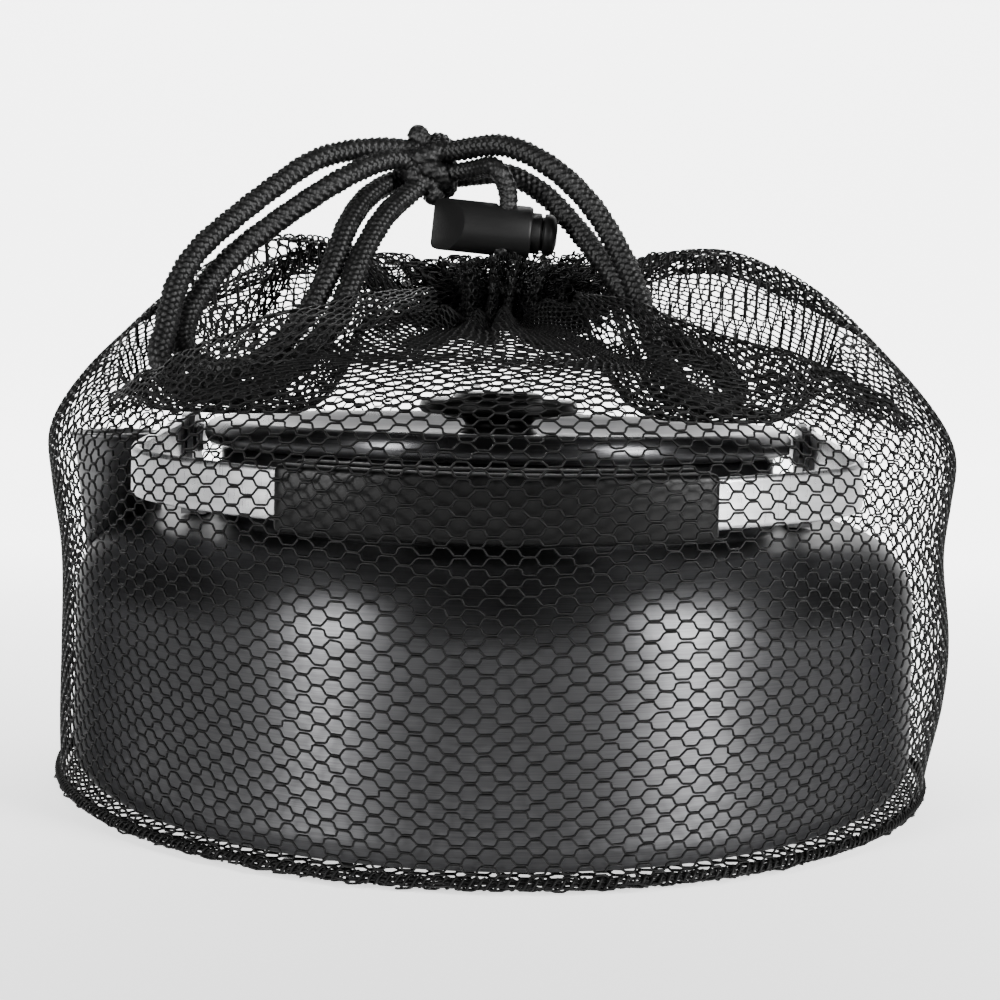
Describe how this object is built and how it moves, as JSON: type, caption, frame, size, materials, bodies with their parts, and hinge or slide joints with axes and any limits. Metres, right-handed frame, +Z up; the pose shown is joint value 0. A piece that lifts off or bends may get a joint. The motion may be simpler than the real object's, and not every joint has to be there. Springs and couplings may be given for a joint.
{
  "type": "camping kettle in a net bag",
  "caption": "Wide low camping kettle with a lid, stub spout and folding bail handle, packed in a hexagonal net bag closed by a drawcord with a barrel cord lock.",
  "frame": {"origin": "on the kettle's axis, on the surface the bag stands on", "axes": "X from the spout (-X) to the other side, Y from the folded grip (-Y) to the back, Z up the kettle's axis"},
  "size_m": [0.1862, 0.1904, 0.1369],
  "materials": {
    "body_metal": "dark satin anodised, fine turning lines",
    "lid_metal": "dark satin anodised",
    "steel": "polished stainless",
    "rivet_metal": "satin",
    "grip_plastic": "satin black",
    "knob_plastic": "satin black",
    "lock_plastic": "matte black, fine texture",
    "net": "black polyester hexagonal net",
    "cord": "black braided cord"
  },
  "bodies": {
    "kettle": {"kettle_body": "body_metal", "spout": "lid_metal", "bracket_left": "steel", "bracket_right": "steel", "pivot_rivet_left": "rivet_metal", "pivot_rivet_right": "rivet_metal", "bracket_rivet_left_front": "rivet_metal", "bracket_rivet_left_back": "rivet_metal", "bracket_rivet_right_front": "rivet_metal", "bracket_rivet_right_back": "rivet_metal", "bag_bottom_net": "net", "bag_bottom_seam": "net"},
    "handle": {"handle_strip": "steel", "grip_outer": "grip_plastic", "grip_inner": "grip_plastic", "grip_screw_left": "rivet_metal", "grip_screw_right": "rivet_metal"},
    "lid": {"lid_shell": "lid_metal", "lid_knob": "knob_plastic", "knob_screw": "rivet_metal", "knob_washer": "steel"},
    "bag_top": {"bag_side_net": "net", "bag_mouth_hem": "net", "drawcord_left_outer": "cord", "drawcord_left_inner": "cord", "drawcord_right": "cord", "drawcord_through_lock": "cord", "drawcord_hem_ring": "cord", "cord_knot": "cord"},
    "cord_lock": {"cord_lock_barrel": "lock_plastic", "cord_lock_spring": "steel"},
    "lock_plunger": {"cord_lock_plunger": "lock_plastic"}
  },
  "joints": [
    {"name": "bag_top_lift", "type": "slide", "parent": "kettle", "child": "bag_top", "axis": [0, 0, 1], "range_m": [0, 0.04], "deforming": ["bag_side_net"]},
    {"name": "lid_lift", "type": "slide", "parent": "kettle", "child": "lid", "axis": [0, 0, 1], "range_m": [0, 0.03]},
    {"name": "handle_fold", "type": "hinge", "parent": "kettle", "child": "handle", "pos_m": [0, 0, 0.068], "axis": [-1, 0, 0], "range_deg": [0, 187]},
    {"name": "lock_slide", "type": "slide", "parent": "bag_top", "child": "cord_lock", "axis": [0.0819, 0, 0.9966], "range_m": [0, 0.005]},
    {"name": "plunger_press", "type": "slide", "parent": "cord_lock", "child": "lock_plunger", "axis": [-0.9966, 0, 0.0819], "range_m": [0, 0.003], "stiffness_N_per_m": 900, "deforming": ["cord_lock_spring"]}
  ],
  "couplings": [
    {"joint": "lid_lift", "follows": "bag_top_lift", "ratio": 0.75}
  ]
}
